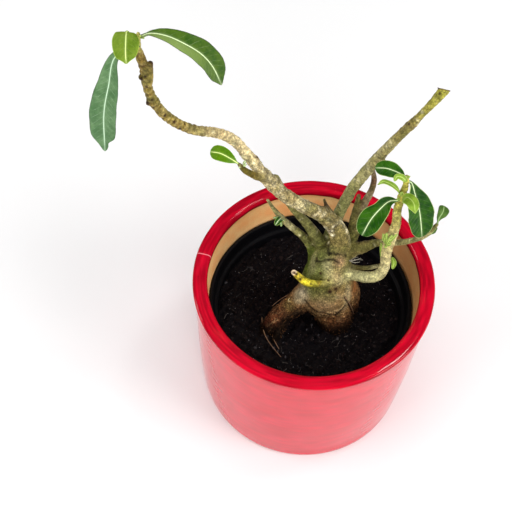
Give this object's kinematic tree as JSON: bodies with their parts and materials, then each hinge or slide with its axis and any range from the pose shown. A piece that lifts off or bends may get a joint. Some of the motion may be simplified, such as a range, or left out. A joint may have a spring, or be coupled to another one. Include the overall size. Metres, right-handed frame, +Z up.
{
  "type": "potted desert rose plant",
  "caption": "Desert rose with a swollen grey-brown caudex, a long leaning branch and glossy leaves, in a black nursery pot set inside a red glazed cylindrical pot.",
  "frame": {"origin": "centre of the glazed pot's flat foot, on the surface it stands on", "axes": "+Z up along the pots' axis, -Y towards the front of the plant, +X to the right; the long branch leans towards -X"},
  "size_m": [0.1791, 0.136, 0.2841],
  "materials": {
    "glaze": "glossy red glaze over terracotta, bare terracotta inside the mouth",
    "black_plastic": "satin black moulded plastic",
    "soil": "moist dark potting soil with pale specks",
    "bark": "matt olive-grey bark, brown and fibrous at the roots",
    "leaf_dark": "glossy deep green with a pale midrib and margin",
    "leaf_dull": "satin blue-green with a pale midrib",
    "leaf_young": "satin yellow-green young leaf"
  },
  "bodies": {
    "root": {"glazed_pot": "glaze", "nursery_pot": "black_plastic", "soil": "soil", "caudex_and_branches": "bark", "leaf_tip_hanging": "leaf_dull", "leaf_tip_facing": "leaf_young", "leaf_tip_arching": "leaf_dark", "leaf_sprig": "leaf_young", "leaf_crown_back": "leaf_dark", "leaf_crown_young": "leaf_young", "leaf_crown_curled": "leaf_young", "leaf_crown_left": "leaf_dark", "leaf_crown_right": "leaf_dark", "leaf_crown_front": "leaf_young", "leaf_right_spoon": "leaf_dull", "leaf_low": "leaf_young", "leaf_right_hanging": "leaf_young", "leaf_right_upright": "leaf_young", "leaf_left_bud": "leaf_young"}
  },
  "joints": []
}
